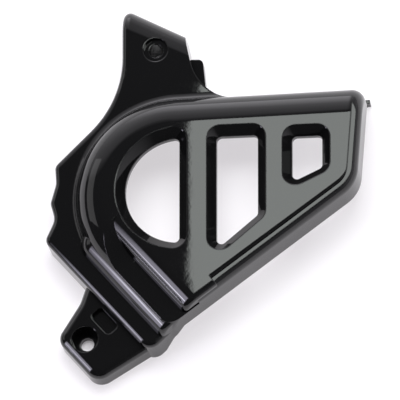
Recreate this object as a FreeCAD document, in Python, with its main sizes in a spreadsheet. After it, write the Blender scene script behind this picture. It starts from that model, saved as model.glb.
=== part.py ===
import FreeCAD, Part
import math
import os
import Sketcher
from FreeCAD import Placement, Rotation, Vector

# Front sprocket cover of a small motorbike: one injection-moulded shell.
# Sketches are drawn about the sprocket axis with X along the bike, Y up and Z
# away from the engine. Z = 0 is the engine face. The finished body is moved so
# that the point midway between the two bolts is the origin.

sizeList = {
    # Heights above the engine face, and the wall
    "face_height": 32.0,
    "flange_height": 17.5,
    "foot_height": 12.5,
    "skirt_rim": 12.4,
    "skirt_start": -46.5,
    "trim_elbow": 49.0,
    "trim_inside": 7.5,
    "trim_outside": 12.0,
    "trim_rise": 12.5,
    "wall": 2.5,
    "overcut": 1.0,
    # Dome outline: each straight side by its angle and its reach from the axis
    "dome_radius": 47.2,
    "roof_angle": 0.8,
    "flank_angle": 49.0,
    "end_reach": 83.9,
    "end_lean": 4.3,
    "diagonal_reach": 49.9,
    "diagonal_angle": 36.4,
    "end_corner": 16.0,
    "shoulder_radius": 15.0,
    "inner_chamfer": 9.0,
    "edge_radius": 6.0,
    "crease_radius": 4.0,
    "rebate_width": 4.4,
    "rebate_depth": 1.2,
    # Upper tab and left flange
    "tab_left": -26.5,
    "tab_peak": 96.4,
    "tab_right": 2.2,
    "tab_drop": 81.4,
    "tab_roll": 10.5,
    "throat_across": 9.9,
    "throat_sink": 0.9,
    "throat_share": 0.74,
    "throat_run": 5.0,
    "neck_up": 49.6,
    "neck_radius": 50.0,
    "cheek_left": -57.9,
    "cheek_up": 18.6,
    "bay_up": 10.0,
    "bay_left": -57.4,
    "bump_up": 0.6,
    "bump_left": -60.0,
    "dip_up": -7.3,
    "dip_left": -57.8,
    "bay_radius": 8.0,
    "border_reach": 58.9,
    "border_start": -27.7,
    "tail_over": 1.6,
    "tail_corner": 6.0,
    "tail_run": 35.6,
    "outline_corner": 4.0,
    "flange_round": 3.0,
    # Lower tab, the foot that carries the lower bolt: each point by how far it stands
    # out from the flange border and how far down the flank it is
    "foot_start": -1.0,
    "foot_waist_out": 7.0,
    "foot_waist_down": 4.6,
    "foot_waist_radius": 14.0,
    "foot_side_out": 26.5,
    "foot_side_down": 10.5,
    "foot_tip_out": 26.7,
    "foot_tip_down": 38.8,
    "foot_tip_radius": 7.0,
    "foot_heel": 43.9,
    "foot_corner": 6.0,
    "foot_round": 4.0,
    "slot_out": 4.6,
    "slot_down": 19.7,
    "slot_length": 13.0,
    "slot_width": 6.5,
    "slot_depth": 3.0,
    "slot_corner": 2.0,
    # Bolts
    "bolt_hole": 6.4,
    "upper_bolt_left": -10.7,
    "upper_bolt_up": 72.9,
    "upper_head": 11.4,
    "upper_seat": 15.5,
    "lower_bolt_out": 17.0,
    "lower_bolt_down": 20.0,
    "lower_head": 12.4,
    "lower_seat": 4.0,
    "boss_wall": 2.4,
    # Two steps with rolled noses down the flank, and the terrace between them
    "terrace_height": 24.75,
    "terrace_start": -8.0,
    "ramp_length": 16.0,
    "ramp_lip": 0.5,
    "ramp_blend": 20.0,
    "nose_radius": 8.5,
    "nose_margin": 0.5,
    "nose_edge": 2.5,
    "nose_inset": 0.4,
    "nose_root": 16.0,
    "high_nose_in": 11.5,
    "high_nose_start": -16.0,
    "low_nose_out": 3.0,
    "low_nose_start": -17.0,
    # Windows in the face
    "frame_drop": 5.0,
    "frame_width": 4.2,
    "frame_corner": 6.5,
    "lip_wall": 2.6,
    "lip_depth": 8.0,
    "round_window_across": 2.0,
    "round_window_up": 0.4,
    "round_window_radius": 29.5,
    "round_window_flat": 6.0,
    "middle_window_left": 14.9,
    "middle_window_right": 42.5,
    "middle_window_top": 29.8,
    "middle_window_foot": -15.0,
    "middle_window_lean": 40.0,
    "end_window_left": 50.0,
    "end_window_right": 72.4,
    "end_window_top": 28.3,
    "end_window_foot": 5.9,
    "end_window_lean": 25.0,
    # Rear lug beside the upper tab and the webs inside
    "lug_right": 9.7,
    "lug_top": 71.5,
    "lug_height": 5.0,
    "lug_corner": 2.5,
    "web_thickness": 1.8,
    "web_inset": 4.0,
    "ear_run": 3.8,
    "ear_height": 5.0,
}

document = FreeCAD.newDocument("sprocket_cover")
sheet = document.addObject("Spreadsheet::Sheet", "Sheet")
for row, (alias, number) in enumerate(sizeList.items(), start=1):
    sheet.set("A%d" % row, alias.replace("_", " "))
    sheet.set("B%d" % row, str(number))
    sheet.setAlias("B%d" % row, alias)
document.recompute()


class Size:
    # A sheet size, or a sum or product of sizes: its value and its formula
    def __init__(self, value, formula):
        self.value = value
        self.formula = formula

    def __add__(self, other):
        other = toSize(other)
        return Size(self.value + other.value, "(%s + %s)" % (self.formula, other.formula))

    def __sub__(self, other):
        other = toSize(other)
        return Size(self.value - other.value, "(%s - %s)" % (self.formula, other.formula))

    def __mul__(self, other):
        other = toSize(other)
        return Size(self.value * other.value, "(%s * %s)" % (self.formula, other.formula))

    def __truediv__(self, other):
        other = toSize(other)
        return Size(self.value / other.value, "(%s / %s)" % (self.formula, other.formula))

    def __neg__(self):
        return Size(-self.value, "(0 - %s)" % self.formula)


def toSize(number):
    if isinstance(number, Size):
        return number
    return Size(float(number), repr(float(number)))


def size(alias):
    return Size(float(sheet.get(alias)), "Sheet.%s" % alias)


def sine(angle):
    return Size(math.sin(math.radians(angle.value)), "sin(%s)" % angle.formula)


def cosine(angle):
    return Size(math.cos(math.radians(angle.value)), "cos(%s)" % angle.formula)


def alongFlank(reach, travel):
    # A point at a reach from the sprocket axis and a travel down the flank
    angle = size("flank_angle")
    across = travel * cosine(angle) - reach * sine(angle)
    up = -(travel * sine(angle)) - reach * cosine(angle)
    return across, up


def flankEnd(reach):
    # How far down the flank a line at this reach comes to the diagonal wall
    both = size("flank_angle") + size("diagonal_angle")
    return (size("diagonal_reach") - reach * cosine(both)) / sine(both) - size("nose_inset")


def outFromBorder(out, down):
    # A point that stands out from the flange border, down the flank
    return alongFlank(size("border_reach") + size(out), size(down))


def bind(target, path, amount):
    target.setExpression(path, toSize(amount).formula)


def newBody(name):
    return document.addObject("PartDesign::Body", name)


def newSketch(body, name, height=0.0, across=0.0, up=0.0, turn=0.0):
    # A level sketch at a height, with its own origin and turn about Z
    sketch = body.newObject("Sketcher::SketchObject", name)
    level = [item for item in body.Origin.OriginFeatures if item.Role == "XY_Plane"][0]
    sketch.AttachmentSupport = [(level, "")]
    sketch.MapMode = "FlatFace"
    place = [toSize(across), toSize(up), toSize(height)]
    turn = toSize(turn)
    sketch.AttachmentOffset = Placement(Vector(*[item.value for item in place]),
                                        Rotation(Vector(0, 0, 1), turn.value))
    for axis, item in zip("xyz", place):
        bind(sketch, "AttachmentOffset.Base.%s" % axis, item)
    bind(sketch, "AttachmentOffset.Rotation.Angle", turn)
    return sketch


def constrain(sketch, amount, *arguments):
    amount = toSize(amount)
    start = math.radians(amount.value) if arguments[0] == "Angle" else amount.value
    index = sketch.addConstraint(Sketcher.Constraint(*arguments, start))
    bind(sketch, "Constraints[%d]" % index, amount)


def placePoint(sketch, shape, end, across, up):
    constrain(sketch, across, "DistanceX", -1, 1, shape, end)
    constrain(sketch, up, "DistanceY", -1, 1, shape, end)


def arcBetween(center, radius, start, end, leftTurn):
    # The arc from start to end, and which of its ends is which
    first, last = (start, end) if leftTurn else (end, start)
    angles = [math.atan2(point.y - center.y, point.x - center.x) for point in (first, last)]
    circle = Part.Circle(center, Vector(0, 0, 1), radius)
    ends = (1, 2) if leftTurn else (2, 1)
    return Part.ArcOfCircle(circle, angles[0], angles[1]), ends


def roundedOutline(sketch, corners):
    # A closed outline through corners (across, up, radius); radius None is a sharp one
    count = len(corners)
    tips = [Vector(toSize(across).value, toSize(up).value, 0) for across, up, radius in corners]
    lines = []
    starts = []
    ends = []
    arcs = []
    for index, (across, up, radius) in enumerate(corners):
        tip = tips[index]
        if radius is None:
            starts.append(tip)
            ends.append(tip)
            arcs.append(None)
            continue
        back = (tips[index - 1] - tip).normalize()
        onward = (tips[(index + 1) % count] - tip).normalize()
        half = back.getAngle(onward) / 2
        radiusValue = toSize(radius).value
        reach = radiusValue / math.tan(half)
        center = tip + (back + onward).normalize() * (radiusValue / math.sin(half))
        leftTurn = back.cross(onward).z < 0
        starts.append(tip + back * reach)
        ends.append(tip + onward * reach)
        arcs.append(arcBetween(center, radiusValue, starts[-1], ends[-1], leftTurn))
    for index in range(count):
        following = (index + 1) % count
        lines.append(sketch.addGeometry(Part.LineSegment(ends[index], starts[following])))
    for index, (across, up, radius) in enumerate(corners):
        before = lines[index - 1]
        after = lines[index]
        if radius is None:
            sketch.addConstraint(Sketcher.Constraint("Coincident", before, 2, after, 1))
            placePoint(sketch, after, 1, across, up)
            continue
        arc, arcEnds = arcs[index]
        bend = sketch.addGeometry(arc)
        sketch.addConstraint(Sketcher.Constraint("Tangent", before, 2, bend, arcEnds[0]))
        sketch.addConstraint(Sketcher.Constraint("Tangent", bend, arcEnds[1], after, 1))
        constrain(sketch, radius, "Radius", bend)
        corner = sketch.addGeometry(Part.Point(tips[index]), True)
        sketch.addConstraint(Sketcher.Constraint("PointOnObject", corner, 1, before))
        sketch.addConstraint(Sketcher.Constraint("PointOnObject", corner, 1, after))
        placePoint(sketch, corner, 1, across, up)


def addPad(body, name, sketch, length):
    pad = body.newObject("PartDesign::Pad", name)
    pad.Profile = sketch
    bind(pad, "Length", length)
    document.recompute()
    return pad


def chosenEdges(base, chooser):
    names = ["Edge%d" % index for index, edge in enumerate(base.Shape.Edges, start=1) if chooser(edge)]
    return (base, names)


def addFillet(body, name, base, chooser, radius):
    fillet = body.newObject("PartDesign::Fillet", name)
    fillet.Base = chosenEdges(base, chooser)
    bind(fillet, "Radius", radius)
    document.recompute()
    return fillet


def rolledShoulder(body, name, base, chooser):
    return addFillet(body, name, base, chooser, size("shoulder_radius"))


def cutShoulder(body, name, base, chooser):
    # Inside, a plain chamfer follows the rolled shoulder
    chamfer = body.newObject("PartDesign::Chamfer", name)
    chamfer.Base = chosenEdges(base, chooser)
    bind(chamfer, "Size", size("inner_chamfer"))
    document.recompute()
    return chamfer


def middle(edge):
    return edge.valueAt((edge.FirstParameter + edge.LastParameter) / 2)


def isLevel(edge, height):
    box = edge.BoundBox
    return abs(box.ZMin - height) < near and abs(box.ZMax - height) < near


def domeOutline(sketch, inset):
    # Roof, end and diagonal sides, flank, and the arc about the sprocket axis
    radius = size("dome_radius") - inset
    corner = size("end_corner") - inset
    angles = [size("roof_angle"), -size("end_lean") - 90, size("diagonal_angle") - 180,
              Size(180.0, "180") - size("flank_angle")]
    reaches = [radius, size("end_reach") - inset, size("diagonal_reach") - inset, radius]
    sides = []
    for angle, reach in zip(angles, reaches):
        turn = math.radians(angle.value)
        direction = Vector(math.cos(turn), math.sin(turn), 0)
        sides.append((Vector(-direction.y, direction.x, 0) * reach.value, direction))
    roof, end, diagonal, flank = sides

    def meet(first, second):
        offset = second[0] - first[0]
        travel = offset.cross(second[1]).z / first[1].cross(second[1]).z
        return first[0] + first[1] * travel

    peak = meet(roof, end)
    low = meet(diagonal, flank)
    elbow = meet(end, diagonal)
    half = (math.pi - end[1].getAngle(diagonal[1])) / 2
    reach = corner.value / math.tan(half)
    bendStart = elbow - end[1] * reach
    bendEnd = elbow + diagonal[1] * reach
    inward = (diagonal[1] - end[1]).normalize()
    bendCenter = elbow + inward * (corner.value / math.sin(half))
    geometry = [Part.LineSegment(roof[0], peak), Part.LineSegment(peak, bendStart),
                Part.LineSegment(bendEnd, low), Part.LineSegment(low, flank[0])]
    roofLine, endLine, diagonalLine, flankLine = [sketch.addGeometry(item) for item in geometry]
    bendArc, bendEnds = arcBetween(bendCenter, corner.value, bendStart, bendEnd, False)
    bend = sketch.addGeometry(bendArc)
    roundArc, roundEnds = arcBetween(Vector(), radius.value, flank[0], roof[0], False)
    around = sketch.addGeometry(roundArc)
    joins = [("Coincident", roofLine, 2, endLine, 1), ("Coincident", diagonalLine, 2, flankLine, 1),
             ("Tangent", endLine, 2, bend, bendEnds[0]), ("Tangent", bend, bendEnds[1], diagonalLine, 1),
             ("Tangent", flankLine, 2, around, roundEnds[0]), ("Tangent", around, roundEnds[1], roofLine, 1),
             ("Coincident", around, 3, -1, 1)]
    for join in joins:
        sketch.addConstraint(Sketcher.Constraint(*join))
    constrain(sketch, radius, "Radius", around)
    constrain(sketch, corner, "Radius", bend)
    for line, angle in zip((roofLine, endLine, diagonalLine, flankLine), angles):
        constrain(sketch, angle, "Angle", line)
    constrain(sketch, reaches[1], "Distance", -1, 1, endLine)
    constrain(sketch, reaches[2], "Distance", -1, 1, diagonalLine)


def domeBody(name, inset, floor, addShoulder):
    # The dome as a solid block: large shoulder on roof, arc and flank, small edge elsewhere
    body = newBody(name)
    sketch = newSketch(body, name + "_outline", height=floor)
    domeOutline(sketch, inset)
    top = size("face_height") - inset
    block = addPad(body, name + "_block", sketch, top - floor)
    radius = (size("dome_radius") - inset).value
    roofNormal = Vector(-math.sin(math.radians(size("roof_angle").value)),
                        math.cos(math.radians(size("roof_angle").value)), 0)
    flankNormal = Vector(-math.sin(math.radians(size("flank_angle").value)),
                         -math.cos(math.radians(size("flank_angle").value)), 0)

    def onShoulder(edge):
        point = middle(edge)
        flat = Vector(point.x, point.y, 0)
        distances = (flat.Length, flat.dot(roofNormal), flat.dot(flankNormal))
        return isLevel(edge, top.value) and min(abs(item - radius) for item in distances) < near

    shoulder = addShoulder(body, name + "_shoulder", block, onShoulder)

    def onSide(edge):
        point = middle(edge)
        onRoof = abs(Vector(point.x, point.y, 0).dot(roofNormal) - radius) < near
        endward = edge.BoundBox.XMax > size("end_reach").value - size("end_corner").value
        return isLevel(edge, top.value) and endward and point.x > 0 and not onRoof

    addFillet(body, name + "_edge", shoulder, onSide, size("edge_radius") - inset)
    return body


def roofUp(across):
    # Height of the roof line at a place along the bike
    angle = size("roof_angle")
    return size("dome_radius") / cosine(angle) + across * sine(angle) / cosine(angle)


def addRebate(body):
    # A shallow step along the end and diagonal edges of the face
    top = size("face_height")
    sketch = newSketch(body, "rebate_outline", height=top)
    domeOutline(sketch, size("rebate_width"))
    domeOutline(sketch, -size("rebate_width") - size("edge_radius"))
    rebate = body.newObject("PartDesign::Pocket", "rebate")
    rebate.Profile = sketch
    bind(rebate, "Length", size("rebate_depth"))
    document.recompute()


def throatRadius():
    # The curve between tab and roof takes a share of the tab's height over the roof
    return (size("tab_drop") - roofUp(size("throat_across"))) * size("throat_share")


def flangeCorners():
    # Upper tab, neck, scalloped left side, border and tail, then hidden inside the dome
    corner = size("outline_corner")
    bay = size("bay_radius")
    tail = size("diagonal_angle")
    flush = flankEnd(size("border_reach"))
    root = alongFlank(size("border_reach"), flush - size("wall"))
    tip = alongFlank(size("border_reach"), flush + size("tail_over"))
    inside = size("tail_run")
    throat = size("throat_across")
    sink = size("throat_sink")
    throatEnd = throat + throatRadius() + size("throat_run")
    return [
        (size("tab_left"), size("tab_peak"), None),
        (size("tab_left"), size("neck_up"), size("neck_radius")),
        (size("cheek_left"), size("cheek_up"), corner),
        (size("bay_left"), size("bay_up"), bay),
        (size("bump_left"), size("bump_up"), corner),
        (size("dip_left"), size("dip_up"), bay),
        alongFlank(size("border_reach"), size("border_start")) + (corner,),
        tip + (size("tail_corner"),),
        (root[0] + inside * cosine(tail), root[1] + inside * sine(tail), None),
        (throatEnd, roofUp(throatEnd) - sink, None),
        (throat, roofUp(throat) - sink, throatRadius()),
        (size("tab_right"), size("tab_drop"), None),
    ]


def flangeBody():
    # Upper tab and left flange as one block with rounded edges
    body = newBody("flange")
    sketch = newSketch(body, "flange_outline")
    roundedOutline(sketch, flangeCorners())
    top = size("flange_height")
    block = addPad(body, "flange_block", sketch, top)
    drop = size("tab_drop").value

    def onPeak(edge):
        return isLevel(edge, top.value) and edge.BoundBox.YMin > drop - near

    roll = addFillet(body, "tab_roll", block, onPeak, size("tab_roll"))
    left = size("tab_left").value
    right = size("tab_right").value

    def onBorder(edge):
        point = middle(edge)
        straightLeft = abs(point.x - left) < near
        straightRight = point.x > right and point.y > drop - throatRadius().value
        long = edge.BoundBox.YLength > size("flange_round").value
        return isLevel(edge, top.value) and long and (straightLeft or straightRight)

    addFillet(body, "flange_round", roll, onBorder, size("flange_round"))
    return body


def insetOutline(sketch, corners, amount):
    # A sharp outline that lies inside the corners' outline by an amount on every side
    count = len(corners)
    tips = [Vector(toSize(across).value, toSize(up).value, 0) for across, up, radius in corners]
    normals = []
    for index in range(count):
        along = (tips[(index + 1) % count] - tips[index]).normalize()
        normals.append(Vector(-along.y, along.x, 0))
    shifted = []
    for index, tip in enumerate(tips):
        pair = normals[index - 1] + normals[index]
        shifted.append(tip + pair * (amount.value / (1 + normals[index - 1].dot(normals[index]))))
    outer = []
    inner = []
    for index in range(count):
        following = (index + 1) % count
        outer.append(sketch.addGeometry(Part.LineSegment(tips[index], tips[following]), True))
        inner.append(sketch.addGeometry(Part.LineSegment(shifted[index], shifted[following])))
    for index, (across, up, radius) in enumerate(corners):
        sketch.addConstraint(Sketcher.Constraint("Coincident", outer[index - 1], 2, outer[index], 1))
        sketch.addConstraint(Sketcher.Constraint("Coincident", inner[index - 1], 2, inner[index], 1))
        placePoint(sketch, outer[index], 1, across, up)
    for index in range(count):
        sketch.addConstraint(Sketcher.Constraint("Parallel", outer[index], inner[index]))
        constrain(sketch, amount, "Distance", inner[index], 1, outer[index])


def flangeCavity():
    # The hollow behind the upper tab and the left flange
    body = newBody("flange_cavity")
    sketch = newSketch(body, "flange_cavity_outline", height=-below)
    insetOutline(sketch, flangeCorners(), size("wall"))
    ceiling = size("flange_height") - size("wall")
    block = addPad(body, "flange_cavity_block", sketch, ceiling + below)
    drop = size("tab_drop").value

    def onPeak(edge):
        return isLevel(edge, ceiling.value) and edge.BoundBox.YMin > drop - wall.value * 2

    addFillet(body, "flange_cavity_roll", block, onPeak, size("tab_roll") - size("wall"))
    return body


def footCorners():
    # The foot runs out from the flange border, with its upper side hidden inside it
    hidden = size("border_reach") - size("wall")
    return [
        alongFlank(hidden, size("foot_start")) + (None,),
        outFromBorder("foot_waist_out", "foot_waist_down") + (size("foot_waist_radius"),),
        outFromBorder("foot_side_out", "foot_side_down") + (size("foot_corner"),),
        outFromBorder("foot_tip_out", "foot_tip_down") + (size("foot_tip_radius"),),
        alongFlank(hidden, size("foot_heel")) + (None,),
    ]


def footBody():
    body = newBody("foot")
    sketch = newSketch(body, "foot_outline")
    roundedOutline(sketch, footCorners())
    top = size("foot_height")
    block = addPad(body, "foot_block", sketch, top)
    border = size("border_reach").value
    turn = math.radians(size("flank_angle").value)

    def onRim(edge):
        point = middle(edge)
        reach = -point.x * math.sin(turn) - point.y * math.cos(turn)
        return isLevel(edge, top.value) and reach > border

    addFillet(body, "foot_round", block, onRim, size("foot_round"))
    return body


def footCavity():
    body = newBody("foot_cavity")
    sketch = newSketch(body, "foot_cavity_outline", height=-below)
    insetOutline(sketch, footCorners(), size("wall"))
    addPad(body, "foot_cavity_block", sketch, size("foot_height") - size("wall") + below)
    return body


def noseBody(name, outer, start, bottom, top):
    # A step along the flank that ends near the diagonal wall, with a rolled nose
    body = newBody(name)
    sketch = newSketch(body, name + "_outline", height=bottom)
    inner = size("nose_root")
    roll = size("nose_radius")
    end = flankEnd(outer)
    roundedOutline(sketch, [
        alongFlank(inner, start) + (None,),
        alongFlank(outer, start) + (roll + size("nose_margin"),),
        alongFlank(outer, end) + (None,),
        alongFlank(inner, flankEnd(inner)) + (None,),
    ])
    block = addPad(body, name + "_block", sketch, top - bottom)
    turn = math.radians(size("flank_angle").value)

    def place(edge):
        point = middle(edge)
        reach = -point.x * math.sin(turn) - point.y * math.cos(turn)
        travel = point.x * math.cos(turn) - point.y * math.sin(turn)
        return reach, travel

    def onNose(edge):
        return isLevel(edge, top.value) and abs(place(edge)[0] - outer.value) < near

    rolled = addFillet(body, name + "_roll", block, onNose, roll)

    def onEnd(edge):
        reach, travel = place(edge)
        return isLevel(edge, top.value) and travel > end.value - near

    addFillet(body, name + "_edge", rolled, onEnd, size("nose_edge"))
    return body


def terraceBody(name, inner, start, floor, ramp):
    # The space over the terrace; a ramp leads out of it towards the round end
    body = newBody(name)
    sketch = newSketch(body, name + "_outline", height=floor)
    outer = size("border_reach")
    end = flankEnd(inner) + size("trim_outside")
    roundedOutline(sketch, [alongFlank(inner, start) + (None,), alongFlank(outer, start) + (None,),
                            alongFlank(outer, end) + (None,), alongFlank(inner, end) + (None,)])
    block = addPad(body, name + "_block", sketch, size("face_height") + below - floor)
    if not ramp:
        return body
    turn = math.radians(size("flank_angle").value)

    def onStart(edge):
        point = middle(edge)
        travel = point.x * math.cos(turn) - point.y * math.sin(turn)
        return isLevel(edge, floor.value) and abs(travel - start.value) < near

    slope = body.newObject("PartDesign::Chamfer", name + "_ramp")
    slope.Base = chosenEdges(block, onStart)
    slope.ChamferType = "Two distances"
    slope.FlipDirection = True
    bind(slope, "Size", size("ramp_length"))
    bind(slope, "Size2", size("face_height") - floor - size("ramp_lip"))
    document.recompute()
    foot = (start + size("ramp_length")).value

    def onRampFoot(edge):
        point = middle(edge)
        travel = point.x * math.cos(turn) - point.y * math.sin(turn)
        return isLevel(edge, floor.value) and abs(travel - foot) < near

    addFillet(body, name + "_blend", slope, onRampFoot, size("ramp_blend"))
    return body


def roundWindow(sketch, inset):
    # A circle about the sprocket's middle, cut straight on the side towards the end
    centerAcross = size("round_window_across")
    centerUp = size("round_window_up")
    radius = size("round_window_radius") - inset
    flat = size("round_window_flat") - inset
    corner = size("frame_corner") - inset
    center = Vector(centerAcross.value, centerUp.value, 0)
    offset = flat.value - corner.value - center.x
    rise = math.sqrt((radius.value - corner.value) ** 2 - offset ** 2)
    upper = center + Vector(offset, rise, 0)
    lower = center + Vector(offset, -rise, 0)
    towards = corner.value / (radius.value - corner.value)
    upperTouch = upper + (upper - center) * towards
    lowerTouch = lower + (lower - center) * towards
    upperFlat = Vector(flat.value, upper.y, 0)
    lowerFlat = Vector(flat.value, lower.y, 0)
    around = sketch.addGeometry(arcBetween(center, radius.value, upperTouch, lowerTouch, True)[0])
    lowerBend = sketch.addGeometry(arcBetween(lower, corner.value, lowerTouch, lowerFlat, True)[0])
    side = sketch.addGeometry(Part.LineSegment(lowerFlat, upperFlat))
    upperBend = sketch.addGeometry(arcBetween(upper, corner.value, upperFlat, upperTouch, True)[0])
    joins = [("Tangent", around, 2, lowerBend, 1), ("Tangent", lowerBend, 2, side, 1),
             ("Tangent", side, 2, upperBend, 1), ("Tangent", upperBend, 2, around, 1),
             ("Vertical", side)]
    for join in joins:
        sketch.addConstraint(Sketcher.Constraint(*join))
    placePoint(sketch, around, 3, centerAcross, centerUp)
    constrain(sketch, radius, "Radius", around)
    constrain(sketch, corner, "Radius", lowerBend)
    constrain(sketch, corner, "Radius", upperBend)
    constrain(sketch, flat, "DistanceX", -1, 1, side, 1)


def leaningWindow(name):
    # An upright window whose lower side leans like the diagonal edge
    def draw(sketch, inset):
        lean = size(name + "_lean")
        left = size(name + "_left") + inset
        right = size(name + "_right") - inset
        top = size(name + "_top") - inset
        foot = size(name + "_foot") + inset * (toSize(1.0) - sine(lean)) / cosine(lean)
        toe = foot - (right - left) * sine(lean) / cosine(lean)
        corner = size("frame_corner") - inset
        roundedOutline(sketch, [(left, top, corner), (left, toe, corner),
                                (right, foot, corner), (right, top, corner)])
    return draw


def addFunnel(body, name, draw, levels):
    # A sloping ring between two outlines, and a straight run down from the lower one
    (topHeight, topInset), (lowHeight, lowInset), endHeight = levels
    wide = newSketch(body, name + "_wide", height=topHeight)
    draw(wide, topInset)
    narrow = newSketch(body, name + "_narrow", height=lowHeight)
    draw(narrow, lowInset)
    funnel = body.newObject("PartDesign::AdditiveLoft", name + "_slope")
    funnel.Profile = wide
    funnel.Sections = [narrow]
    funnel.Ruled = True
    document.recompute()
    straight = newSketch(body, name + "_straight", height=endHeight)
    draw(straight, lowInset)
    addPad(body, name + "_run", straight, lowHeight - endHeight)


def windowBodies(name, draw):
    # The opening with its bevelled frame, and the lip that stands behind it
    top = size("face_height")
    drop = size("frame_drop")
    width = size("frame_width")
    lip = size("lip_wall")
    low = top - drop
    end = top - size("lip_depth")
    opening = newBody(name + "_opening")
    addFunnel(opening, name + "_opening", draw, ((top, toSize(0.0)), (low, width), end - below))
    rim = newBody(name + "_lip")
    start = bite
    startInset = width * start / drop - lip
    addFunnel(rim, name + "_lip", draw, ((top - start, startInset), (low, width - lip), end))
    return opening, rim


def upright(name, diameter, across, up, bottom, top):
    cylinder = document.addObject("Part::Cylinder", name)
    bind(cylinder, "Radius", diameter * 0.5)
    bind(cylinder, "Height", toSize(top) - bottom)
    for axis, amount in zip("xyz", (across, up, bottom)):
        bind(cylinder, "Placement.Base.%s" % axis, amount)
    return cylinder


def slotBody(name, margin, bottom, top):
    # The oblong recess in the foot, or the cup behind it
    body = newBody(name)
    across, up = outFromBorder("slot_out", "slot_down")
    sketch = newSketch(body, name + "_outline", bottom, across, up, -size("flank_angle"))
    halfLength = size("slot_length") * 0.5 + margin
    halfWidth = size("slot_width") * 0.5 + margin
    corner = size("slot_corner") + margin
    roundedOutline(sketch, [(-halfLength, -halfWidth, corner), (halfLength, -halfWidth, corner),
                            (halfLength, halfWidth, corner), (-halfLength, halfWidth, corner)])
    addPad(body, name + "_block", sketch, toSize(top) - bottom)
    return body


def skirtTrim():
    # Lifts the rim of the end and diagonal walls, where the chain leaves
    body = newBody("skirt_trim")
    sketch = newSketch(body, "skirt_trim_outline", height=-below)
    inside = size("trim_inside")
    outside = size("trim_outside")
    angle = size("diagonal_angle")

    def alongDiagonal(reach, travel):
        return reach * sine(angle) + travel * cosine(angle), travel * sine(angle) - reach * cosine(angle)

    diagonal = size("diagonal_reach")
    end = size("end_reach")
    innerEnd = end - inside
    outerEnd = end + outside
    elbow = alongDiagonal(diagonal - inside, size("trim_elbow"))
    roundedOutline(sketch, [
        (innerEnd, roofUp(innerEnd) - size("wall"), None),
        elbow + (None,),
        alongDiagonal(diagonal - inside, size("skirt_start")) + (None,),
        alongDiagonal(diagonal + outside, size("skirt_start")) + (None,),
        alongDiagonal(diagonal + outside, end) + (None,),
        (outerEnd, roofUp(outerEnd) - size("wall"), None),
    ])
    rim = size("skirt_rim")
    block = addPad(body, "skirt_trim_block", sketch, rim + below)
    turn = math.radians(angle.value)

    def onStart(edge):
        point = middle(edge)
        travel = point.x * math.cos(turn) + point.y * math.sin(turn)
        return isLevel(edge, rim.value) and abs(travel - size("skirt_start").value) < near

    rise = body.newObject("PartDesign::Chamfer", "skirt_trim_rise")
    rise.Base = chosenEdges(block, onStart)
    bind(rise, "Size", size("trim_rise"))
    document.recompute()
    return body


def lugBody():
    # A flat lug low in the corner between the upper tab and the roof
    body = newBody("lug")
    sketch = newSketch(body, "lug_outline")
    throat = size("throat_across")
    right = size("lug_right")
    top = size("lug_top")
    foot = roofUp(throat) - bite
    slope = (throat - size("tab_right")) / (roofUp(throat) - size("throat_sink") - size("tab_drop"))
    wallTop = size("tab_right") + (top - size("tab_drop")) * slope - bite
    roundedOutline(sketch, [(throat - bite, foot, None), (right + size("wall"), foot, None),
                            (right, top, size("lug_corner")), (wallTop, top, None)])
    addPad(body, "lug_block", sketch, size("lug_height"))
    return body


def webBox(name, left, right, up, bottom, top):
    web = document.addObject("Part::Box", name)
    thickness = size("web_thickness")
    bind(web, "Length", right - left)
    bind(web, "Width", thickness)
    bind(web, "Height", top - bottom)
    for axis, amount in zip("xyz", (left, up - thickness * 0.5, bottom)):
        bind(web, "Placement.Base.%s" % axis, amount)
    return web


def joined(name, pieces):
    fuse = document.addObject("Part::MultiFuse", name)
    fuse.Shapes = pieces
    fuse.Refine = True
    document.recompute()
    return fuse


def cutFrom(name, base, tool):
    cut = document.addObject("Part::Cut", name)
    cut.Base = base
    cut.Tool = tool
    cut.Refine = True
    document.recompute()
    return cut


def creasedSkin():
    # Dome and flange as one block, with the inner corner between them rounded out
    outerDome = domeBody("outer_dome", toSize(0.0), toSize(0.0), rolledShoulder)
    addRebate(outerDome)
    blocks = joined("blocks", [outerDome, flangeBody()])
    body = newBody("outer_skin")
    body.BaseFeature = blocks
    document.recompute()
    level = size("flange_height").value

    def onCrease(edge):
        point = middle(edge)
        foot = math.hypot(point.x, point.y)
        return isLevel(edge, level) and edge.Curve.TypeId == "Part::GeomCircle" and \
            abs(foot - size("dome_radius").value) < wall.value and edge.Length > level

    addFillet(body, "crease", body.Tip, onCrease, size("crease_radius"))
    return body


# How far a cut runs past a face, how far a piece reaches into the wall that it
# stands on, and how near two lengths are taken as the same
below = size("overcut")
wall = size("wall")
bite = wall * 0.5
near = 0.001
face = size("face_height")
footTop = size("foot_height")
flangeTop = size("flange_height")
terrace = size("terrace_height")
highReach = size("dome_radius") - size("high_nose_in")
lowReach = size("dome_radius") + size("low_nose_out")
terraceStart = size("terrace_start")

highNose = noseBody("high_nose", highReach, size("high_nose_start"), flangeTop - wall, face)
lowNose = noseBody("low_nose", lowReach, size("low_nose_start"), toSize(0.0), terrace)
space = terraceBody("terrace_space", highReach - size("nose_radius"), terraceStart, terrace, True)
skin = cutFrom("skin", creasedSkin(), space)
solidBlock = joined("solid_block", [skin, footBody(), highNose, lowNose])

innerDome = domeBody("inner_dome", wall, -below, cutShoulder)
underTerrace = terraceBody("under_terrace", highReach - wall, terraceStart - wall, terrace - wall, False)
innerSpace = cutFrom("inner_space", innerDome, underTerrace)
hollow = joined("hollow", [innerSpace, flangeCavity(), footCavity()])
shell = cutFrom("shell", solidBlock, hollow)

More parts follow.
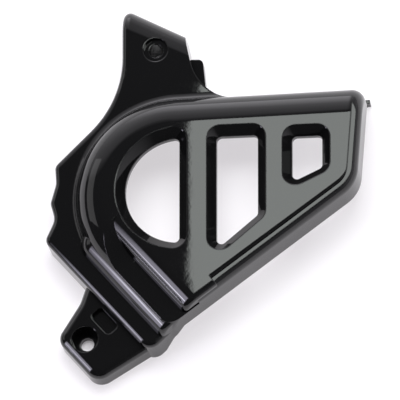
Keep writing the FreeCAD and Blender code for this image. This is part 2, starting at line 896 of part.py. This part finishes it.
windows = [windowBodies("round_window", roundWindow),
           windowBodies("middle_window", leaningWindow("middle_window")),
           windowBodies("end_window", leaningWindow("end_window"))]
bolts = []
bosses = []
upperBolt = (size("upper_bolt_left"), size("upper_bolt_up"))
lowerBolt = outFromBorder("lower_bolt_out", "lower_bolt_down")
for name, (across, up), bossTop in (("upper", upperBolt, flangeTop), ("lower", lowerBolt, footTop)):
    head = size(name + "_head")
    seat = size(name + "_seat")
    bosses.append(upright(name + "_boss", head + size("boss_wall") * 2, across, up, toSize(0.0),
                          bossTop - bite))
    bolts.append(upright(name + "_bolt_hole", size("bolt_hole"), across, up, -below, seat + below))
    bolts.append(upright(name + "_head_recess", head, across, up, seat, bossTop + below))

slotFloor = footTop - size("slot_depth")
slotCup = slotBody("slot_cup", wall, slotFloor - wall, footTop - bite)
slot = slotBody("slot", toSize(0.0), slotFloor, footTop + below)
web = webBox("tab_web", size("tab_left") + bite, size("tab_right"), size("upper_bolt_up"),
             size("web_inset"), flangeTop - bite)
roofEnd = size("end_reach")
ear = webBox("roof_ear", roofEnd - wall, roofEnd + size("ear_run"), roofUp(roofEnd) - bite, toSize(0.0),
             size("ear_height"))
fitted = joined("fitted", [shell, slotCup, lugBody(), web, ear] + bosses + [rim for opening, rim in windows])
cuts = joined("cuts", [slot, skirtTrim()] + bolts + [opening for opening, rim in windows])
cover = cutFrom("sprocket_cover", fitted, cuts)
bind(cover, "Placement.Base.x", -(upperBolt[0] + lowerBolt[0]) / 2)
bind(cover, "Placement.Base.y", -(upperBolt[1] + lowerBolt[1]) / 2)
document.recompute()

for item in document.Objects:
    if "Invalid" in item.State or "Error" in item.State:
        raise RuntimeError("%s failed: %s" % (item.Label, item.State))
for item in (solidBlock, hollow, shell, fitted, cuts, cover):
    print(item.Label, item.Shape.isValid(), len(item.Shape.Solids), round(item.Shape.Volume, 1))
if cover.Shape.isNull() or not cover.Shape.isValid() or len(cover.Shape.Solids) != 1:
    raise RuntimeError("the cover is not one valid solid")
os.makedirs("parts", exist_ok=True)
cover.Shape.exportStep("parts/sprocket_cover.step")
print(cover.Shape.BoundBox)
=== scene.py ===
import bmesh
import bpy
from mathutils import Matrix, Vector


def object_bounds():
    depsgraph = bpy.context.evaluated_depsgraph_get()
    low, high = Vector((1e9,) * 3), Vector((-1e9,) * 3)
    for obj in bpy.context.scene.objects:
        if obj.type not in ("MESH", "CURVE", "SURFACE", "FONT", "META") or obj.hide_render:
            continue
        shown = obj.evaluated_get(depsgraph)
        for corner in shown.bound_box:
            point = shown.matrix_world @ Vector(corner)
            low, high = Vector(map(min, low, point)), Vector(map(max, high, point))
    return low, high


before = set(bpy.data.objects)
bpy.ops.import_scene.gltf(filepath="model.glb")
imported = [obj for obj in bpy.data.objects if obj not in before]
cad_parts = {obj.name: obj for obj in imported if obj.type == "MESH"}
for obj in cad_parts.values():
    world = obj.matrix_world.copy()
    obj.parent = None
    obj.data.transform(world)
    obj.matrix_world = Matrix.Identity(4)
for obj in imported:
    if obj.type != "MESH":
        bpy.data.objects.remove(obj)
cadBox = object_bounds()
scene = bpy.context.scene
scene.view_settings.view_transform = "Standard"
print("frame loaded:", sorted(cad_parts))


# helpers: a new node stands one step to the right of the last

nodeStep = 220.0


def emptyTree(owner):
    owner.use_nodes = True
    owner.node_tree.nodes.clear()
    return owner.node_tree


def addNode(tree, kind, **values):
    node = tree.nodes.new(kind)
    node.location.x = nodeStep * len(tree.nodes)
    for name, value in values.items():
        setattr(node, name, value)
    return node


def setInputs(node, values):
    for name, value in values.items():
        node.inputs[name].default_value = value


# Z points back, and X runs as near to along as it can
def standFacing(place, back, along):
    up = back.cross(along).normalized()
    right = up.cross(back)
    turn = Matrix((right, up, back)).transposed().to_4x4()
    return Matrix.Translation(place) @ turn


# gloss black plastic, with lengths in metres

gloss = {
    "colour": (0.003, 0.003, 0.0032, 1.0),
    "ior": 1.5,
    "roughLow": 0.012,
    "roughHigh": 0.045,
    "smudge": {"Scale": 34.0, "Detail": 5.0, "Roughness": 0.6, "Distortion": 0.6},
    "smudgeLow": 0.35,
    "smudgeHigh": 0.75,
    "warp": {"Scale": 26.0, "Detail": 1.0, "Roughness": 0.4},
    "warpBump": {"Strength": 0.04, "Distance": 0.004},
    "peel": {"Scale": 520.0, "Detail": 2.0, "Roughness": 0.5},
    "peelBump": {"Strength": 0.008, "Distance": 0.0004},
    "edgeRadius": 0.0009,
    "edgeSamples": 8,
    "cornerReach": 0.0025,
    "cornerDark": 0.75,
    "cornerPale": 0.95,
}

# socket numbers for a mix of two vectors
vectorMix = {"factor": 0, "first": 4, "second": 5, "result": 1}


# handling smudges vary the gloss
def smudgedRoughness(tree, coords):
    smudge = addNode(tree, "ShaderNodeTexNoise")
    setInputs(smudge, gloss["smudge"])
    spread = addNode(tree, "ShaderNodeMapRange")
    setInputs(spread, {"From Min": gloss["smudgeLow"], "From Max": gloss["smudgeHigh"],
                       "To Min": gloss["roughLow"], "To Max": gloss["roughHigh"]})
    tree.links.new(coords.outputs["Object"], smudge.inputs["Vector"])
    tree.links.new(smudge.outputs["Fac"], spread.inputs["Value"])
    return spread.outputs["Result"]


# outer edges are shaded as rolled, and inner corners stay sharp
def rolledNormal(tree):
    rolled = addNode(tree, "ShaderNodeBevel", samples=gloss["edgeSamples"])
    rolled.inputs["Radius"].default_value = gloss["edgeRadius"]
    plain = addNode(tree, "ShaderNodeNewGeometry")
    corner = addNode(tree, "ShaderNodeAmbientOcclusion", samples=gloss["edgeSamples"], only_local=True)
    corner.inputs["Distance"].default_value = gloss["cornerReach"]
    outer = addNode(tree, "ShaderNodeMapRange")
    setInputs(outer, {"From Min": gloss["cornerDark"], "From Max": gloss["cornerPale"]})
    blend = addNode(tree, "ShaderNodeMix", data_type="VECTOR")
    tree.links.new(corner.outputs["AO"], outer.inputs["Value"])
    tree.links.new(outer.outputs["Result"], blend.inputs[vectorMix["factor"]])
    tree.links.new(plain.outputs["Normal"], blend.inputs[vectorMix["first"]])
    tree.links.new(rolled.outputs["Normal"], blend.inputs[vectorMix["second"]])
    return blend.outputs[vectorMix["result"]]


def rippledNormal(tree, coords, normal, noiseValues, bumpValues):
    noise = addNode(tree, "ShaderNodeTexNoise")
    setInputs(noise, noiseValues)
    bump = addNode(tree, "ShaderNodeBump")
    setInputs(bump, bumpValues)
    tree.links.new(coords.outputs["Object"], noise.inputs["Vector"])
    tree.links.new(noise.outputs["Fac"], bump.inputs["Height"])
    tree.links.new(normal, bump.inputs["Normal"])
    return bump.outputs["Normal"]


def makeGloss():
    material = bpy.data.materials.new("glossBlackPlastic")
    tree = emptyTree(material)
    coords = addNode(tree, "ShaderNodeTexCoord")
    roughness = smudgedRoughness(tree, coords)

    # slow warp of the moulding, then the fine ripple on top of it
    rolled = rolledNormal(tree)
    warped = rippledNormal(tree, coords, rolled, gloss["warp"], gloss["warpBump"])
    peeled = rippledNormal(tree, coords, warped, gloss["peel"], gloss["peelBump"])
    shader = addNode(tree, "ShaderNodeBsdfPrincipled")
    setInputs(shader, {"Base Color": gloss["colour"], "IOR": gloss["ior"]})
    output = addNode(tree, "ShaderNodeOutputMaterial")
    tree.links.new(roughness, shader.inputs["Roughness"])
    tree.links.new(peeled, shader.inputs["Normal"])
    tree.links.new(shader.outputs["BSDF"], output.inputs["Surface"])
    return material


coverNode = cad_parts["sprocket_cover"]
coverNode.data.materials.clear()
coverNode.data.materials.append(makeGloss())
print("cover dressed")


# white table, just under the rim that the cover lies on

table = {
    "size": 3.0,
    "drop": 0.0001,
    "colour": (0.86, 0.86, 0.88, 1.0),
    "white": (1.0, 0.965, 1.0, 1.0),
    "whiteStrength": 1.0,
    "whiteShare": 0.62,
    # the next four set the painted shade: the white glow falls away where ambient occlusion finds deep
    # holes
    "paintedShadeReach": 0.014,
    "paintedShadeSamples": 16,
    "paintedShadeDark": 0.05,
    "paintedShadePale": 0.35,
}


# the share of white that the eye, mirrors and glass see, with painted shade: ambient occlusion makes
# it less in deep holes
def whiteShare(tree):
    path = addNode(tree, "ShaderNodeLightPath")
    seen = addNode(tree, "ShaderNodeMath", operation="MAXIMUM")
    through = addNode(tree, "ShaderNodeMath", operation="MAXIMUM")
    # painted shade: ambient occlusion lowers the white glow, so the floor is darker in deep holes and
    # close under the cover
    paintedHoleShade = addNode(tree, "ShaderNodeAmbientOcclusion", samples=table["paintedShadeSamples"])
    paintedHoleShade.inputs["Distance"].default_value = table["paintedShadeReach"]
    shadedShare = addNode(tree, "ShaderNodeMapRange")
    setInputs(shadedShare, {"From Min": table["paintedShadeDark"], "From Max": table["paintedShadePale"],
                    "To Max": table["whiteShare"]})
    share = addNode(tree, "ShaderNodeMath", operation="MULTIPLY")
    tree.links.new(path.outputs["Is Camera Ray"], seen.inputs[0])
    tree.links.new(path.outputs["Is Glossy Ray"], seen.inputs[1])
    tree.links.new(seen.outputs["Value"], through.inputs[0])
    tree.links.new(path.outputs["Is Transmission Ray"], through.inputs[1])
    tree.links.new(paintedHoleShade.outputs["AO"], shadedShare.inputs["Value"])
    tree.links.new(through.outputs["Value"], share.inputs[0])
    tree.links.new(shadedShare.outputs["Result"], share.inputs[1])
    return share.outputs["Value"]


def makeTablePaint():
    material = bpy.data.materials.new("whiteTable")
    tree = emptyTree(material)
    share = whiteShare(tree)
    paint = addNode(tree, "ShaderNodeBsdfDiffuse")
    paint.inputs["Color"].default_value = table["colour"]
    glow = addNode(tree, "ShaderNodeEmission")
    setInputs(glow, {"Color": table["white"], "Strength": table["whiteStrength"]})
    mix = addNode(tree, "ShaderNodeMixShader")
    output = addNode(tree, "ShaderNodeOutputMaterial")
    tree.links.new(share, mix.inputs["Fac"])
    tree.links.new(paint.outputs["BSDF"], mix.inputs[1])
    tree.links.new(glow.outputs["Emission"], mix.inputs[2])
    tree.links.new(mix.outputs["Shader"], output.inputs["Surface"])
    return material


def makeTable():
    mesh = bpy.data.meshes.new("tableTop")
    sheet = bmesh.new()
    bmesh.ops.create_grid(sheet, x_segments=1, y_segments=1, size=table["size"] / 2)
    sheet.to_mesh(mesh)
    sheet.free()
    mesh.materials.append(makeTablePaint())
    top = bpy.data.objects.new("tableTop", mesh)
    top.location.z = cadBox[0][2] - table["drop"]
    scene.collection.objects.link(top)


makeTable()
print("table laid")


# room: a dark ceiling, a pale wall behind and a fainter one on the right

room = {
    "ceiling": (0.08, 0.08, 0.085, 1.0),
    "tint": (1.0, 0.98, 1.03),
    "back": ((0.43, 0.0), (0.53, 0.30), (0.66, 0.40), (0.85, 0.68), (1.0, 1.6)),
    "backStrength": 1.7,
    "dimFrom": -0.08,
    "dimTo": 0.18,
    "dimShare": 0.35,
    "right": ((0.45, 0.0), (0.75, 0.6), (1.0, 1.0)),
    "rightStrength": 0.6,
}


def wallGlow(tree, source, stops):
    ramp = addNode(tree, "ShaderNodeValToRGB")
    elements = ramp.color_ramp.elements
    while len(elements) < len(stops):
        elements.new(1.0)
    for element, (position, level) in zip(elements, stops):
        element.position = position
        element.color = [level * share for share in room["tint"]] + [1.0]
    glow = addNode(tree, "ShaderNodeBackground")
    tree.links.new(source, ramp.inputs["Fac"])
    tree.links.new(ramp.outputs["Color"], glow.inputs["Color"])
    return glow


def makeRoom():
    world = bpy.data.worlds.new("room")
    scene.world = world
    tree = emptyTree(world)
    coords = addNode(tree, "ShaderNodeTexCoord")
    split = addNode(tree, "ShaderNodeSeparateXYZ")
    tree.links.new(coords.outputs["Generated"], split.inputs["Vector"])
    ceiling = addNode(tree, "ShaderNodeBackground")
    ceiling.inputs["Color"].default_value = room["ceiling"]
    right = wallGlow(tree, split.outputs["X"], room["right"])
    right.inputs["Strength"].default_value = room["rightStrength"]

    # the wall behind is dimmer towards the right
    back = wallGlow(tree, split.outputs["Y"], room["back"])
    dimmer = addNode(tree, "ShaderNodeMapRange")
    setInputs(dimmer, {"From Min": room["dimFrom"], "From Max": room["dimTo"],
                       "To Min": room["backStrength"],
                       "To Max": room["backStrength"] * room["dimShare"]})
    tree.links.new(split.outputs["X"], dimmer.inputs["Value"])
    tree.links.new(dimmer.outputs["Result"], back.inputs["Strength"])
    walls = addNode(tree, "ShaderNodeAddShader")
    whole = addNode(tree, "ShaderNodeAddShader")
    output = addNode(tree, "ShaderNodeOutputWorld")
    tree.links.new(back.outputs["Background"], walls.inputs[0])
    tree.links.new(right.outputs["Background"], walls.inputs[1])
    tree.links.new(ceiling.outputs["Background"], whole.inputs[0])
    tree.links.new(walls.outputs["Shader"], whole.inputs[1])
    tree.links.new(whole.outputs["Shader"], output.inputs["Surface"])


makeRoom()
print("room lit")


# soft boxes: along is the run of the first size, and fade is the share of each size at its rim

boxes = {
    "key": {
        "at": (0.165, 0.1395, 0.46), "aim": (0.165, 0.1395, 0.0), "along": (1.0, 0.0, 0.0),
        "size": (0.38, 0.135), "fade": (0.01, 0.02), "power": 0.777,
        "colour": (0.95, 1.0, 0.97), "mirrored": True,
    },
    "nose": {
        "at": (-0.522, -0.253, 0.3256), "aim": (0.0245, -0.058, 0.033), "along": (0.36, 0.315, 0.88),
        "size": (0.72, 0.15), "fade": (0.14, 0.35), "power": 1.9,
        "colour": (0.86, 0.83, 1.0), "mirrored": True,
    },
    "noseLine": {
        "at": (-0.51, -0.2575, 0.294), "aim": (0.0266, -0.0625, 0.034), "along": (0.36, 0.315, 0.88),
        "size": (0.10, 0.12), "fade": (0.5, 0.5), "power": 0.64,
        "colour": (0.9, 0.87, 1.0), "mirrored": True,
    },
    "left": {
        "at": (-0.62, 0.217, 0.305), "aim": (-0.018, 0.0, 0.025), "along": (0.33, 0.94, 0.0),
        "size": (0.50, 0.32), "fade": (0.01, 0.01), "power": 0.43,
        "colour": (1.0, 0.99, 1.0), "mirrored": True,
    },
    "overhead": {
        "at": (0.02, 0.45, 0.95), "aim": (0.05, 0.0, 0.0), "along": (1.0, 0.0, 0.0),
        "size": (1.0, 0.8), "fade": (0.01, 0.01), "power": 16.0,
        "colour": (1.0, 0.99, 1.0), "mirrored": False,
    },
    "lowRight": {
        "at": (0.90, -0.10, 0.22), "aim": (0.05, 0.0, 0.0), "along": (0.0, 1.0, 0.0),
        "size": (0.6, 0.3), "fade": (0.01, 0.01), "power": 6.0,
        "colour": (1.0, 1.0, 1.0), "mirrored": False,
    },
}


# the glow rises from each rim over its share of the box
def softenRim(lamp, fade):
    tree = emptyTree(lamp)
    place = addNode(tree, "ShaderNodeNewGeometry")
    split = addNode(tree, "ShaderNodeSeparateXYZ")
    tree.links.new(place.outputs["Parametric"], split.inputs["Vector"])
    both = addNode(tree, "ShaderNodeMath", operation="MULTIPLY")
    for side, (axis, width) in enumerate(zip("XY", fade)):
        far = addNode(tree, "ShaderNodeMath", operation="SUBTRACT")
        far.inputs[0].default_value = 1.0
        tree.links.new(split.outputs[axis], far.inputs[1])
        near = addNode(tree, "ShaderNodeMath", operation="MINIMUM")
        tree.links.new(split.outputs[axis], near.inputs[0])
        tree.links.new(far.outputs["Value"], near.inputs[1])
        rise = addNode(tree, "ShaderNodeMapRange", interpolation_type="SMOOTHSTEP")
        rise.inputs["From Max"].default_value = width
        tree.links.new(near.outputs["Value"], rise.inputs["Value"])
        tree.links.new(rise.outputs["Result"], both.inputs[side])
    glow = addNode(tree, "ShaderNodeEmission")
    output = addNode(tree, "ShaderNodeOutputLight")
    tree.links.new(both.outputs["Value"], glow.inputs["Strength"])
    tree.links.new(glow.outputs["Emission"], output.inputs["Surface"])


def makeBox(name, values):
    lamp = bpy.data.lights.new(name, "AREA")
    lamp.shape = "RECTANGLE"
    lamp.size, lamp.size_y = values["size"]
    lamp.energy = values["power"]
    lamp.color = values["colour"]
    softenRim(lamp, values["fade"])
    holder = bpy.data.objects.new(name, lamp)
    place = Vector(values["at"])
    back = (place - Vector(values["aim"])).normalized()
    holder.matrix_world = standFacing(place, back, Vector(values["along"]))
    holder.visible_glossy = values["mirrored"]
    scene.collection.objects.link(holder)


for boxName, boxValues in boxes.items():
    makeBox(boxName, boxValues)
print("boxes hung")


# camera: high above the face, a little towards the lower side

view = {
    "target": (0.0395, -0.01037, 0.032),
    "right": (0.991, 0.0, -0.134),
    "back": (0.127, -0.3176, 0.9397),
    "distance": 6.0,
    "across": 0.184,
    "sensorWidth": 36.0,
    "farEnd": 40.0,
}


def makeCamera():
    lens = bpy.data.cameras.new("camera")
    lens.sensor_width = view["sensorWidth"]
    lens.lens = view["sensorWidth"] * view["distance"] / view["across"]
    lens.clip_end = view["farEnd"]
    camera = bpy.data.objects.new("camera", lens)
    back = Vector(view["back"]).normalized()
    place = Vector(view["target"]) + back * view["distance"]
    camera.matrix_world = standFacing(place, back, Vector(view["right"]))
    scene.collection.objects.link(camera)
    scene.camera = camera


makeCamera()
print("camera set")
